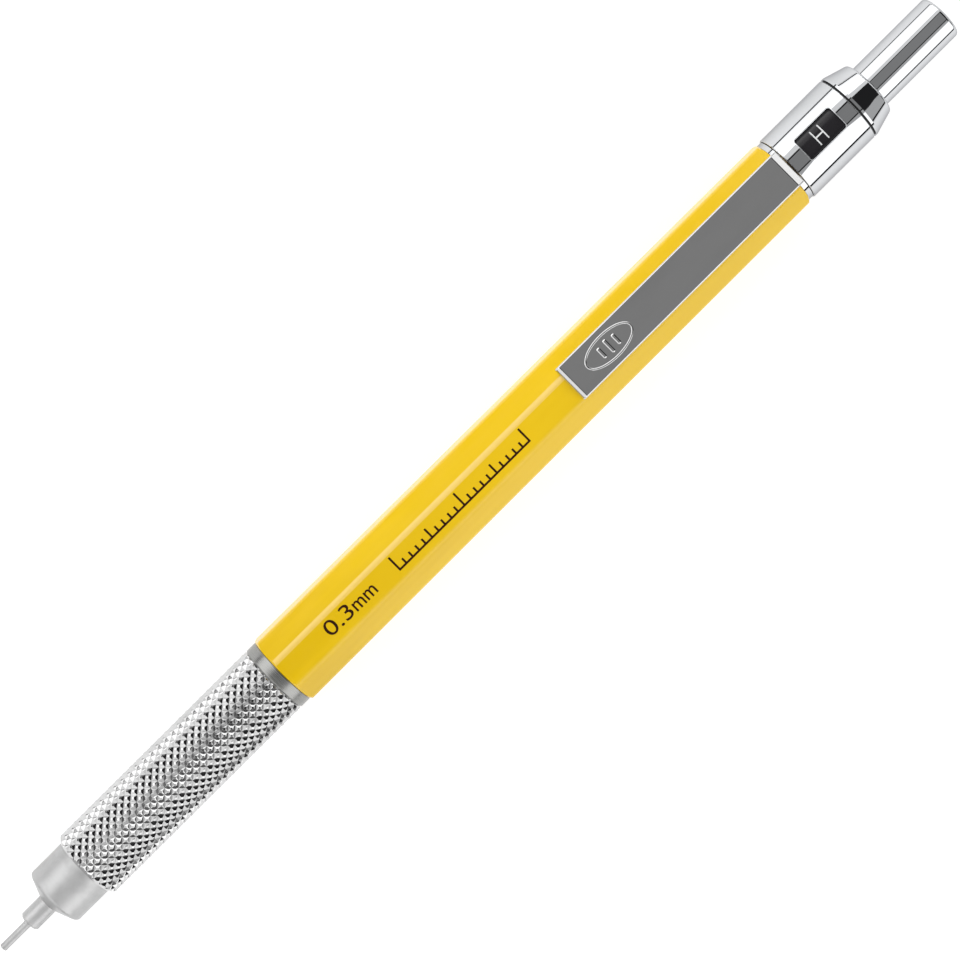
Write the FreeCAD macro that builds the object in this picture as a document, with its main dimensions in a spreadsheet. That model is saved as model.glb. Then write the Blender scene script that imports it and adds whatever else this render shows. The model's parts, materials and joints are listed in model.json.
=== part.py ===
import FreeCAD, Part
import math
import os

import Sketcher
from FreeCAD import Placement, Rotation, Vector

# A drafting mechanical pencil, lying on a table with its clip upwards.
# Frame: X along the pencil from the writing tip to the push button, +Z up on the clip's side,
# origin on the table under the middle of the pencil.  Millimetres.
# A station is a distance from the writing tip, along the pencil.

PARTS_FOLDER = "parts"
SIDES = 8                      # the barrel's flats
JAWS = 3
SPARE_LEADS = 3

SIZES = {
    # whole pencil
    "overall_length": 146.8,
    "clip_roll": 8.0,
    "window_roll": 10.4,
    # lead sleeve, nose and lead retainer
    "nose_face": 4.05,
    "sleeve_shoulder": 3.95,
    "sleeve_root_radius": 0.72,
    "sleeve_radius": 0.46,
    "sleeve_bore": 0.22,
    "sleeve_root": 5.9,
    "tip_chamfer": 0.08,
    "step_radius": 1.24,
    "step_chamfer": 0.22,
    "cone_front": 7.05,
    "cone_back": 8.15,
    "nose_radius": 3.72,
    "nose_round": 0.45,
    "nose_spigot_radius": 3.05,
    "nose_back": 17.5,
    "retainer_front": 5.95,
    "retainer_back": 7.75,
    "retainer_radius": 0.8,
    "retainer_bore": 0.21,
    "nose_throat": 0.3,
    "jaw_chamber_front": 9.2,
    "jaw_chamber_radius": 1.9,
    "ring_stop": 13.2,
    "ring_chamber_radius": 2.35,
    # knurled grip
    "grip_front": 13.0,
    "knurl_back": 42.4,
    "grip_back": 43.85,
    "grip_radius": 4.36,
    "land_radius": 4.34,
    "grip_front_chamfer": 0.4,
    "knurl_runout": 0.12,
    "grip_neck_bore": 2.6,
    "grip_spigot_radius": 3.5,
    "grip_spigot_back": 52.0,
    # clutch: chuck, ring, housing, spring, connector
    "chuck_front": 12.4,
    "flare_back": 13.4,
    "flare_radius": 1.75,
    "jaw_taper_back": 14.1,
    "jaw_radius": 1.38,
    "jaw_back": 16.6,
    "stem_radius": 1.0,
    "stem_back": 24.0,
    "tail_radius": 1.15,
    "chuck_back": 27.0,
    "chuck_bore": 0.21,
    "chuck_back_bore": 0.4,
    "slit_width": 0.16,
    "slit_back": 20.5,
    "ring_front": 14.2,
    "ring_back": 15.9,
    "ring_bore": 1.44,
    "ring_radius": 2.05,
    "housing_front": 15.95,
    "housing_step": 17.6,
    "housing_nose_radius": 2.25,
    "housing_radius": 2.95,
    "housing_front_bore": 1.45,
    "guide_front": 18.0,
    "guide_back": 19.5,
    "guide_bore": 1.1,
    "spring_chamber": 2.25,
    "housing_back": 30.0,
    "spring_front": 19.55,
    "spring_back": 28.05,
    "spring_turns": 7.0,
    "spring_wire": 0.17,
    "spring_radius": 1.66,
    "connector_front": 24.6,
    "connector_nose_radius": 1.4,
    "flange_front": 28.1,
    "flange_back": 29.3,
    "flange_radius": 2.1,
    "connector_back": 34.0,
    "connector_bore": 0.5,
    # lead, reservoir tube, eraser and push button
    "lead_radius": 0.19,
    "lead_front": 0.15,
    "lead_length": 60.0,
    "spare_front": 62.0,
    "spare_orbit": 1.53,
    "spare_step": 4.0,
    "tube_radius": 2.1,
    "tube_bore": 1.75,
    "tube_back": 141.5,
    "ferrule_front": 134.0,
    "ferrule_back": 143.5,
    "ferrule_radius": 2.32,
    "eraser_front": 137.5,
    "eraser_back": 145.9,
    "eraser_radius": 1.72,
    "eraser_round": 0.4,
    "needle_front": 129.5,
    "needle_radius": 0.13,
    "needle_disc_front": 137.2,
    "needle_disc_radius": 1.6,
    "button_front": 130.7,
    "button_skirt_radius": 2.56,
    "button_step": 135.55,
    "button_radius": 2.75,
    "button_bore": 2.36,
    "button_end_wall": 0.6,
    "button_round": 0.42,
    # barrel
    "barrel_front_flat": 4.385,
    "barrel_back_flat": 4.24,
    "barrel_corner": 0.85,
    "barrel_front_rim": 4.4,
    "barrel_back_rim": 4.26,
    "barrel_back": 121.95,
    "barrel_bore": 2.9,
    "bush_front": 112.6,
    # rear end: bush, clip band, grade drum and sleeve, washer and end cone
    "bush_radius": 3.3,
    "bush_bore": 2.9,
    "bush_back": 133.9,
    "groove_front": 127.6,
    "groove_width": 0.3,
    "groove_radius": 3.08,
    "ring_wire": 0.11,
    "ring_orbit": 3.2,
    "band_radius": 4.15,
    "band_front": 122.0,
    "band_back": 122.6,
    "drum_front": 123.28,
    "drum_back": 132.05,
    "drum_radius": 3.85,
    "drum_bore": 3.34,
    "drum_neck_radius": 3.6,
    "drum_neck_back": 134.1,
    "shell_front": 122.68,
    "shell_back": 132.1,
    "shell_radius": 4.325,
    "shell_bore": 3.93,
    "shell_flange_back": 123.23,
    "shell_round": 0.12,
    "window_front": 124.74,
    "window_back": 130.14,
    "window_width": 3.04,
    "window_corner": 0.35,
    "washer_front": 132.13,
    "washer_back": 132.28,
    "washer_radius": 4.12,
    "washer_bore": 3.63,
    "cone_front_face": 132.31,
    "cone_pocket_back": 134.2,
    "cone_land": 0.3,
    "end_cone_back": 135.45,
    "end_cone_radius": 3.48,
    "end_cone_bore": 2.86,
    "end_cone_round": 0.38,
    # clip
    "clip_front": 88.4,
    "clip_width": 4.62,
    "clip_top": 6.35,
    "clip_depth": 0.9,
    "clip_sheet": 0.5,
    "clip_edge": 0.2,
    "clip_foot_bottom": 4.56,
    "clip_foot_length": 1.3,
    "clip_front_round": 0.6,
    "clip_slope_front": 121.45,
    "clip_slope_bottom": 5.78,
    "clip_bend": 0.2,
    "clip_inner_bend": 0.5,
    "clip_leg_front": 122.0,
    "clip_leg_back": 122.3,
    "clip_leg_bottom": 3.78,
    "clip_leg_width": 3.0,
    "clip_notch_width": 3.2,
    "clip_shoulder": 4.75,
    "clip_notch_bottom": 3.66,
}


class Size:
    """A length: its value in millimetres, and the spreadsheet expression that gives it."""

    def __init__(self, value, expression):
        self.value = value
        self.expression = expression

    def _joined(self, other, sign, value):
        text = other.expression if isinstance(other, Size) else str(other)
        return Size(value, f"({self.expression} {sign} {text})")

    def __add__(self, other):
        return self._joined(other, "+", self.value + number(other))

    def __sub__(self, other):
        return self._joined(other, "-", self.value - number(other))

    def __mul__(self, other):
        return self._joined(other, "*", self.value * number(other))

    def __truediv__(self, other):
        return self._joined(other, "/", self.value / number(other))


ZERO = Size(0.0, "0")


def number(size):
    """The value of a Size, or a plain number as it is."""
    return size.value if isinstance(size, Size) else float(size)


def size(alias):
    """The spreadsheet's cell of that alias."""
    return Size(SIZES[alias], f"Sizes.{alias}")


def fill_sheet(document):
    """Writes the driving dimensions into the spreadsheet, one row each."""
    sheet = document.addObject("Spreadsheet::Sheet", "Sizes")
    for row, (alias, value) in enumerate(SIZES.items(), start=1):
        sheet.set(f"A{row}", alias)
        sheet.set(f"B{row}", str(value))
        sheet.setAlias(f"B{row}", alias)
    document.recompute()


def origin_plane(body, role):
    """One of the body's own origin planes, such as XZ_Plane."""
    return next(f for f in body.Origin.OriginFeatures if f.Role == role)


def bind(thing, name, value):
    """Sets a property from a Size, and keeps it bound to the spreadsheet."""
    thing.setExpression(name, value.expression)


def new_sketch(body, name, plane="XZ_Plane"):
    """An empty sketch on one of the body's origin planes."""
    sketch = body.newObject("Sketcher::SketchObject", name)
    sketch.AttachmentSupport = [(origin_plane(body, plane), "")]
    sketch.MapMode = "FlatFace"
    return sketch


def hold_point(sketch, line, across, up):
    """Holds the start point of a sketch line at two Sizes from the sketch's origin."""
    for kind, axis, value in (("DistanceX", -2, across), ("DistanceY", -1, up)):
        if number(value) == 0:
            sketch.addConstraint(Sketcher.Constraint("PointOnObject", line, 1, axis))
            continue
        index = sketch.addConstraint(
            Sketcher.Constraint(kind, -1, 1, line, 1, number(value))
        )
        name = f"{kind}_{line}"
        sketch.renameConstraint(index, name)
        if isinstance(value, Size):
            sketch.setExpression(f"Constraints.{name}", value.expression)


def draw_outline(sketch, points):
    """A closed outline of straight lines, every corner bound to the spreadsheet."""
    corners = [Vector(number(a), number(b), 0) for a, b in points]
    first = sketch.GeometryCount
    for start, end in zip(corners, corners[1:] + corners[:1]):
        sketch.addGeometry(Part.LineSegment(start, end), False)
    count = len(corners)
    for i in range(count):
        joint = (first + i, 2, first + (i + 1) % count, 1)
        sketch.addConstraint(Sketcher.Constraint("Coincident", *joint))
    for i, (across, up) in enumerate(points):
        hold_point(sketch, first + i, across, up)


def draw_circle(sketch, station, height, radius):
    """A circle in a sketch, bound to the spreadsheet."""
    centre = Vector(number(station), number(height), 0)
    sketch.addGeometry(Part.Circle(centre, Vector(0, 0, 1), number(radius)), False)
    for kind, point, value in (("DistanceX", 3, station), ("DistanceY", 3, height)):
        index = sketch.addConstraint(Sketcher.Constraint(kind, -1, 1, 0, point, number(value)))
        sketch.renameConstraint(index, kind)
        sketch.setExpression(f"Constraints.{kind}", value.expression)
    index = sketch.addConstraint(Sketcher.Constraint("Radius", 0, number(radius)))
    sketch.renameConstraint(index, "Radius")
    sketch.setExpression("Constraints.Radius", radius.expression)


def new_body(label):
    """An empty body in the pencil's place: its X axis is the pencil's axis, with X as the station."""
    body = document.addObject("PartDesign::Body", label)
    body.Label = label
    body.setExpression("Placement.Base.x", "-Sizes.overall_length / 2")
    body.setExpression("Placement.Base.z", "Sizes.barrel_front_flat")
    return body


def turn(body, sketch, name, kind="Revolution", angle=360):
    """Turns a sketch about the pencil's axis, to add to the body or, as a Groove, to cut it."""
    feature = body.newObject(f"PartDesign::{kind}", name)
    feature.Profile = sketch
    feature.ReferenceAxis = (sketch, ["H_Axis"])
    feature.Angle = angle
    sketch.Visibility = False
    document.recompute()


def turned(label, outline):
    """A body turned about the pencil's axis from a closed outline of (station, radius) corners."""
    body = new_body(label)
    sketch = new_sketch(body, label + "_outline")
    draw_outline(sketch, outline)
    turn(body, sketch, label + "_turning")
    return body


def tube(label, front, back, radius, bore):
    """A plain turned tube."""
    return turned(label, [(front, bore), (front, radius), (back, radius), (back, bore)])


def edges_where(body, test):
    """Names of the tip's edges for which test(edge) is true."""
    edges = body.Tip.Shape.Edges
    return [f"Edge{i}" for i, edge in enumerate(edges, start=1) if test(edge)]


def ring_edge(station, radius):
    """A test for the full circle at that station and radius."""
    def test(edge):
        box = edge.BoundBox
        return (
            box.XLength < 1e-3
            and abs(box.XMin - number(station)) < 1e-3
            and abs(box.YMax - number(radius)) < 1e-3
            and abs(box.YMin + number(radius)) < 1e-3
        )
    return test


def round_edges(body, test, radius):
    """Rounds the edges for which test(edge) is true."""
    names = edges_where(body, test)
    if not names:
        raise RuntimeError(f"{body.Label} has no such edge to round")
    base = body.Tip
    fillet = body.newObject("PartDesign::Fillet", f"{body.Name}_round")
    fillet.Base = (base, names)
    bind(fillet, "Radius", radius)
    document.recompute()


def roll(body, angle="clip_roll"):
    """Turns a body about the pencil's axis, away from a barrel flat's direction."""
    body.setExpression("Placement.Rotation.Axis.x", "1")
    body.setExpression("Placement.Rotation.Axis.z", "0")
    body.setExpression("Placement.Rotation.Angle", f"-Sizes.{angle}")


def make_nose():
    """The tip: lead sleeve, nose and lead retainer."""
    sleeve_radius = size("sleeve_radius")
    root_radius = size("sleeve_root_radius")
    turned("lead_sleeve", [
        (ZERO, size("sleeve_bore")),
        (ZERO, sleeve_radius - size("tip_chamfer")),
        (size("tip_chamfer"), sleeve_radius),
        (size("sleeve_shoulder"), sleeve_radius),
        (size("sleeve_shoulder"), root_radius),
        (size("sleeve_root"), root_radius),
        (size("sleeve_root"), size("sleeve_bore")),
    ])
    step = size("step_chamfer")
    nose = turned("nose", [
        (size("nose_face"), root_radius),
        (size("nose_face"), size("step_radius") - step),
        (size("nose_face") + step, size("step_radius")),
        (size("cone_front"), size("step_radius")),
        (size("cone_back"), size("nose_radius")),
        (size("grip_front"), size("nose_radius")),
        (size("grip_front"), size("nose_spigot_radius")),
        (size("nose_back"), size("nose_spigot_radius")),
        (size("nose_back"), size("ring_chamber_radius")),
        (size("ring_stop"), size("ring_chamber_radius")),
        (size("ring_stop"), size("jaw_chamber_radius")),
        (size("jaw_chamber_front"), size("jaw_chamber_radius")),
        (size("jaw_chamber_front"), size("nose_throat")),
        (size("retainer_back"), size("nose_throat")),
        (size("retainer_back"), size("retainer_radius")),
        (size("retainer_front"), size("retainer_radius")),
        (size("retainer_front"), root_radius),
    ])
    round_edges(nose, ring_edge(size("cone_back"), size("nose_radius")), size("nose_round"))
    tube("lead_retainer", size("retainer_front") + 0.05, size("retainer_back") - 0.05,
         size("retainer_radius"), size("retainer_bore"))


def make_grip():
    """The metal grip: the knurled part's crests, a smooth land, and a spigot into the barrel."""
    chamfer = size("grip_front_chamfer")
    runout = size("knurl_runout")
    turned("grip", [
        (size("grip_front"), size("nose_spigot_radius")),
        (size("grip_front"), size("grip_radius") - chamfer),
        (size("grip_front") + chamfer, size("grip_radius")),
        (size("knurl_back") - runout, size("grip_radius")),
        (size("knurl_back"), size("land_radius")),
        (size("grip_back"), size("land_radius")),
        (size("grip_back"), size("grip_spigot_radius")),
        (size("grip_spigot_back"), size("grip_spigot_radius")),
        (size("grip_spigot_back"), size("grip_neck_bore")),
        (size("housing_back"), size("grip_neck_bore")),
        (size("housing_back"), size("housing_radius")),
        (size("nose_back"), size("housing_radius")),
        (size("nose_back"), size("nose_spigot_radius")),
    ])


def make_clutch():
    """The clutch that feeds the lead: chuck, ring, housing, spring and connector."""
    chuck = turned("chuck", [
        (size("chuck_front"), size("chuck_bore")),
        (size("chuck_front"), size("jaw_radius")),
        (size("flare_back"), size("flare_radius")),
        (size("jaw_taper_back"), size("jaw_radius")),
        (size("jaw_back"), size("jaw_radius")),
        (size("jaw_back"), size("stem_radius")),
        (size("stem_back"), size("stem_radius")),
        (size("stem_back"), size("tail_radius")),
        (size("chuck_back"), size("tail_radius")),
        (size("chuck_back"), size("chuck_back_bore")),
        (size("slit_back"), size("chuck_back_bore")),
        (size("slit_back"), size("chuck_bore")),
    ])
    cut = new_sketch(chuck, "chuck_slit", "XY_Plane")
    half = size("slit_width") / 2
    front = size("chuck_front") - size("slit_width")
    draw_outline(cut, [
        (front, half * -1), (size("slit_back"), half * -1), (size("slit_back"), half), (front, half),
    ])
    slit = chuck.newObject("PartDesign::Pocket", "chuck_slits")
    slit.Profile = cut
    slit.Type = "ThroughAll"
    slit.Reversed = True
    cut.Visibility = False
    pattern = chuck.newObject("PartDesign::PolarPattern", "chuck_jaws")
    pattern.Originals = [slit]
    pattern.Axis = (origin_plane(chuck, "X_Axis"), [""])
    pattern.Angle = 360
    pattern.Occurrences = JAWS
    chuck.Tip = pattern
    document.recompute()

    tube("clutch_ring", size("ring_front"), size("ring_back"), size("ring_radius"), size("ring_bore"))
    turned("clutch_housing", [
        (size("housing_front"), size("housing_front_bore")),
        (size("housing_front"), size("housing_nose_radius")),
        (size("housing_step"), size("housing_nose_radius")),
        (size("housing_step"), size("housing_radius")),
        (size("housing_back"), size("housing_radius")),
        (size("housing_back"), size("spring_chamber")),
        (size("guide_back"), size("spring_chamber")),
        (size("guide_back"), size("guide_bore")),
        (size("guide_front"), size("guide_bore")),
        (size("guide_front"), size("housing_front_bore")),
    ])

    spring = new_body("clutch_spring")
    wire = size("spring_wire")
    section = new_sketch(spring, "clutch_spring_wire")
    draw_circle(section, size("spring_front") + wire, size("spring_radius"), wire)
    coil = spring.newObject("PartDesign::AdditiveHelix", "clutch_spring_coil")
    coil.Profile = section
    coil.ReferenceAxis = (section, ["H_Axis"])
    coil.Mode = "height-turns-angle"
    bind(coil, "Height", size("spring_back") - size("spring_front") - wire * 2)
    bind(coil, "Turns", size("spring_turns"))
    section.Visibility = False
    document.recompute()

    turned("connector", [
        (size("connector_front"), size("tail_radius")),
        (size("connector_front"), size("connector_nose_radius")),
        (size("flange_front"), size("connector_nose_radius")),
        (size("flange_front"), size("flange_radius")),
        (size("flange_back"), size("flange_radius")),
        (size("flange_back"), size("tube_bore")),
        (size("connector_back"), size("tube_bore")),
        (size("connector_back"), size("connector_bore")),
        (size("chuck_back"), size("connector_bore")),
        (size("chuck_back"), size("tail_radius")),
    ])


def rod(label, front, length, radius, orbit=None, direction=0.0):
    """A round rod on the pencil's axis, or beside it at an orbit and a direction in degrees."""
    back = front + length
    body = turned(label, [(front, ZERO), (front, radius), (back, radius), (back, ZERO)])
    if orbit is not None:
        body.setExpression("Placement.Base.y", f"{orbit.expression} * cos({direction})")
        height = f"Sizes.barrel_front_flat + {orbit.expression} * sin({direction})"
        body.setExpression("Placement.Base.z", height)
    document.recompute()
    return body


def make_magazine():
    """The leads, the tube that stores them, and the eraser with its needle."""
    rod("lead", size("lead_front"), size("lead_length"), size("lead_radius"))
    for i in range(SPARE_LEADS):
        start = size("spare_front") + size("spare_step") * i
        direction = 240.0 + 30.0 * i
        rod(f"spare_lead_{i + 1}", start, size("lead_length"), size("lead_radius"),
            size("spare_orbit"), direction)
    tube("lead_tube", size("flange_back"), size("tube_back"), size("tube_radius"), size("tube_bore"))
    tube("eraser_ferrule", size("ferrule_front"), size("ferrule_back"), size("ferrule_radius"),
         size("tube_radius"))

    eraser = turned("eraser", [
        (size("eraser_front"), ZERO), (size("eraser_front"), size("eraser_radius")),
        (size("eraser_back"), size("eraser_radius")), (size("eraser_back"), ZERO),
    ])
    round_edges(eraser, ring_edge(size("eraser_back"), size("eraser_radius")), size("eraser_round"))
    turned("clearing_needle", [
        (size("needle_front"), ZERO),
        (size("needle_front") + size("needle_radius") * 2, size("needle_radius")),
        (size("needle_disc_front"), size("needle_radius")),
        (size("needle_disc_front"), size("needle_disc_radius")),
        (size("eraser_front"), size("needle_disc_radius")),
        (size("eraser_front"), ZERO),
    ])
    button = turned("push_button", [
        (size("button_front"), size("button_bore")),
        (size("button_front"), size("button_skirt_radius")),
        (size("button_step"), size("button_skirt_radius")),
        (size("button_step"), size("button_radius")),
        (size("overall_length"), size("button_radius")),
        (size("overall_length"), ZERO),
        (size("overall_length") - size("button_end_wall"), ZERO),
        (size("overall_length") - size("button_end_wall"), size("button_bore")),
    ])
    round_edges(button, ring_edge(size("overall_length"), size("button_radius")), size("button_round"))


def draw_turned_end(sketch, station, rim, inward):
    """What is turned off one end of the barrel: all outside a ball that starts at the end's rim."""
    far = size("barrel_front_flat") * 1.3
    centre = station + rim * inward
    radius = number(rim) * math.sqrt(2)
    low = Vector(number(station), number(rim), 0)
    high = Vector(number(station), number(far), 0)
    side = Vector(number(centre) - inward * math.sqrt(radius ** 2 - high.y ** 2), high.y, 0)
    first = sketch.GeometryCount
    sketch.addGeometry(Part.LineSegment(low, high), False)
    sketch.addGeometry(Part.LineSegment(high, side), False)
    ball = Part.Circle(Vector(number(centre), 0, 0), Vector(0, 0, 1), radius)
    ends = sorted(math.atan2(point.y, point.x - number(centre)) for point in (low, side))
    sketch.addGeometry(Part.ArcOfCircle(ball, *ends), False)
    at_side, at_rim = (1, 2) if inward > 0 else (2, 1)
    hold_point(sketch, first, station, rim)
    hold_point(sketch, first + 1, station, far)
    for joint in ((first, 2, first + 1, 1), (first + 1, 2, first + 2, at_side),
                  (first + 2, at_rim, first, 1)):
        sketch.addConstraint(Sketcher.Constraint("Coincident", *joint))
    sketch.addConstraint(Sketcher.Constraint("Horizontal", first + 1))
    sketch.addConstraint(Sketcher.Constraint("PointOnObject", first + 2, 3, -1))
    index = sketch.addConstraint(
        Sketcher.Constraint("DistanceX", -1, 1, first + 2, 3, number(centre))
    )
    sketch.renameConstraint(index, f"Centre_{first}")
    sketch.setExpression(f"Constraints.Centre_{first}", centre.expression)


def make_barrel():
    """The eight-sided barrel, tapering to the rear, with rounded corners and turned ends."""
    barrel = new_body("barrel")
    front, back = size("grip_back"), size("barrel_back")
    blank_radius = size("barrel_front_flat") * 1.2
    blank = new_sketch(barrel, "barrel_blank_outline")
    draw_outline(blank, [(front, ZERO), (front, blank_radius), (back, blank_radius), (back, ZERO)])
    turn(barrel, blank, "barrel_blank")
    side_pad(barrel, "barrel_flat", [
        (front, size("barrel_front_flat")), (front, blank_radius * 1.1),
        (back, blank_radius * 1.1), (back, size("barrel_back_flat")),
    ], blank_radius * 3, "Pocket")
    pattern = barrel.newObject("PartDesign::PolarPattern", "barrel_flats")
    pattern.Originals = [barrel.Tip]
    pattern.Axis = (origin_plane(barrel, "X_Axis"), [""])
    pattern.Angle = 360
    pattern.Occurrences = SIDES
    barrel.Tip = pattern
    document.recompute()
    long_edges = lambda edge: edge.BoundBox.XLength > 20
    round_edges(barrel, long_edges, size("barrel_corner"))

    turning_tool = new_sketch(barrel, "barrel_turned_ends")
    draw_turned_end(turning_tool, front, size("barrel_front_rim"), 1)
    draw_turned_end(turning_tool, back, size("barrel_back_rim"), -1)
    turn(barrel, turning_tool, "barrel_end_turning", "Groove")

    bores = new_sketch(barrel, "barrel_bores")
    draw_outline(bores, [
        (size("grip_back"), ZERO),
        (size("grip_back"), size("grip_spigot_radius")),
        (size("grip_spigot_back") + 0.1, size("grip_spigot_radius")),
        (size("grip_spigot_back") + 0.1, size("barrel_bore")),
        (size("bush_front") - 0.1, size("barrel_bore")),
        (size("bush_front") - 0.1, size("bush_radius")),
        (size("barrel_back"), size("bush_radius")),
        (size("barrel_back"), ZERO),
    ])
    turn(barrel, bores, "barrel_boring", "Groove")


def make_rear_end():
    """Behind the barrel: bush, clip band, grade drum with its window, washer and end cone."""
    bush = size("bush_radius")
    groove = size("groove_front")
    groove_back = groove + size("groove_width")
    turned("rear_bush", [
        (size("bush_front"), size("bush_bore")),
        (size("bush_front"), bush),
        (groove, bush),
        (groove, size("groove_radius")),
        (groove_back, size("groove_radius")),
        (groove_back, bush),
        (size("bush_back"), bush),
        (size("bush_back"), size("bush_bore")),
    ])

    friction = new_body("drum_spring_ring")
    section = new_sketch(friction, "drum_spring_ring_wire")
    draw_circle(section, groove + size("groove_width") / 2, size("ring_orbit"), size("ring_wire"))
    turn(friction, section, "drum_spring_ring_hoop", angle=330)

    turned("grade_drum", [
        (size("drum_front"), size("drum_bore")),
        (size("drum_front"), size("drum_radius")),
        (size("drum_back"), size("drum_radius")),
        (size("drum_back"), size("drum_neck_radius")),
        (size("drum_neck_back"), size("drum_neck_radius")),
        (size("drum_neck_back"), size("drum_bore")),
    ])
    shell = turned("window_sleeve", [
        (size("shell_front"), bush),
        (size("shell_front"), size("shell_radius")),
        (size("shell_back"), size("shell_radius")),
        (size("shell_back"), size("shell_bore")),
        (size("shell_flange_back"), size("shell_bore")),
        (size("shell_flange_back"), bush),
    ])
    for station in ("shell_front", "shell_back"):
        round_edges(shell, ring_edge(size(station), size("shell_radius")), size("shell_round"))
    cut_upwards(shell, "window", size("window_front"), size("window_back"), size("window_width"))
    corners = lambda edge: (
        edge.BoundBox.XLength < 1e-3 and edge.BoundBox.YLength < 1e-3 and edge.BoundBox.ZLength > 0.1
    )
    round_edges(shell, corners, size("window_corner"))
    roll(shell, "window_roll")

    tube("friction_washer", size("washer_front"), size("washer_back"), size("washer_radius"),
         size("washer_bore"))
    cone = turned("end_cone", [
        (size("cone_front_face"), size("drum_neck_radius")),
        (size("cone_front_face"), size("shell_radius")),
        (size("cone_front_face") + size("cone_land"), size("shell_radius")),
        (size("end_cone_back"), size("end_cone_radius")),
        (size("end_cone_back"), size("end_cone_bore")),
        (size("cone_pocket_back"), size("end_cone_bore")),
        (size("cone_pocket_back"), size("drum_neck_radius")),
    ])
    round_edges(cone, ring_edge(size("end_cone_back"), size("end_cone_radius")),
                size("end_cone_round"))


def cut_upwards(body, name, front, back, width, bottom=None):
    """Cuts a straight-sided hole up through a turned body's wall, on the clip's side."""
    sketch = new_sketch(body, f"{name}_outline", "XY_Plane")
    if bottom is not None:
        sketch.setExpression("AttachmentOffset.Base.z", bottom.expression)
    half = width / 2
    draw_outline(sketch, [(front, half * -1), (back, half * -1), (back, half), (front, half)])
    hole = body.newObject("PartDesign::Pocket", f"{name}_hole")
    hole.Profile = sketch
    hole.Type = "ThroughAll"
    hole.Reversed = True
    sketch.Visibility = False
    document.recompute()


def side_pad(body, name, outline, width, kind="Pad"):
    """A side view's outline made as wide as given, half to each side; or cut away as wide."""
    sketch = new_sketch(body, f"{name}_outline")
    draw_outline(sketch, outline)
    feature = body.newObject(f"PartDesign::{kind}", f"{name}_{kind.lower()}")
    feature.Profile = sketch
    feature.Midplane = True
    bind(feature, "Length", width)
    sketch.Visibility = False
    document.recompute()


def make_clip():
    """The sheet-metal clip: a band round the bush, and the sprung arm that stands in it."""
    band = tube("clip_band", size("band_front"), size("band_back"), size("band_radius"),
                size("bush_radius"))
    cut_upwards(band, "clip_notch", size("band_front") - 1, size("band_back") + 1,
                size("clip_notch_width"), size("clip_notch_bottom"))
    roll(band)

    arm = new_body("clip_arm")
    top = size("clip_top")
    under = top - size("clip_depth")
    front = size("clip_front")
    foot_back = front + size("clip_foot_length")
    leg_front, leg_back = size("clip_leg_front"), size("clip_leg_back")
    side_pad(arm, "clip_arm", [
        (front, size("clip_foot_bottom")), (front, top), (size("clip_slope_front"), top),
        (leg_back, size("clip_slope_bottom")), (leg_back, size("clip_shoulder")),
        (leg_front, size("clip_shoulder")), (leg_front, under),
        (foot_back, under), (foot_back, size("clip_foot_bottom")),
    ], size("clip_width"))
    side_pad(arm, "clip_leg", [
        (leg_front, size("clip_leg_bottom")), (leg_front, size("clip_shoulder") + 0.1),
        (leg_back, size("clip_shoulder") + 0.1), (leg_back, size("clip_leg_bottom")),
    ], size("clip_leg_width"))
    channel = top - size("clip_sheet")
    side_pad(arm, "clip_channel", [
        (foot_back, under - 0.1), (foot_back, channel), (leg_front - 0.6, channel),
        (leg_front - 0.6, under - 0.1),
    ], size("clip_width") - size("clip_sheet") * 2, "Pocket")
    across_at = lambda station, height: lambda edge: (
        edge.BoundBox.YLength > 1 and edge.BoundBox.XLength < 1e-3 and edge.BoundBox.ZLength < 1e-3
        and abs(edge.BoundBox.XMin - number(station)) < 1e-3
        and abs(edge.BoundBox.ZMin - number(height)) < 1e-3
    )
    round_edges(arm, across_at(size("clip_slope_front"), top), size("clip_bend"))
    round_edges(arm, across_at(leg_back, size("clip_slope_bottom")), size("clip_bend"))
    round_edges(arm, across_at(leg_front, under), size("clip_inner_bend"))
    round_edges(arm, across_at(front, top), size("clip_front_round"))
    rims = lambda edge: (
        abs(abs(edge.BoundBox.YMin) - SIZES["clip_width"] / 2) < 1e-3
        and edge.BoundBox.YLength < 1e-3
        and (edge.CenterOfMass.z > number(under) + 0.1
             or edge.BoundBox.XMax < number(front) + 1e-3
             or edge.BoundBox.XMin > number(leg_back) - 1e-3)
    )
    round_edges(arm, rims, size("clip_edge"))
    roll(arm)


document = FreeCAD.newDocument("pencil")
fill_sheet(document)
os.makedirs(PARTS_FOLDER, exist_ok=True)
make_nose()
make_grip()
make_clutch()
make_magazine()
make_barrel()
make_rear_end()
make_clip()
document.recompute()

bodies = [thing for thing in document.Objects if thing.TypeId == "PartDesign::Body"]
for thing in document.Objects:
    if "Invalid" in thing.State or "Error" in thing.State:
        raise RuntimeError(f"{thing.Label} did not compute: {thing.State}")
for body in bodies:
    shape = body.Shape
    if shape.isNull() or not shape.isValid() or len(shape.Solids) != 1:
        raise RuntimeError(f"{body.Label} is not one valid solid")
for body in bodies:
    body.Shape.exportStep(os.path.join(PARTS_FOLDER, f"{body.Label}.step"))
    box = body.Shape.BoundBox
    print(f"{body.Label:20} volume {body.Shape.Volume:9.3f}  x {box.XMin:8.2f} {box.XMax:8.2f}"
          f"  z {box.ZMin:6.2f} {box.ZMax:6.2f}")
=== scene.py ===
import json
import math

import bmesh
import bpy
from mathutils import Matrix, Vector


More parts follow.
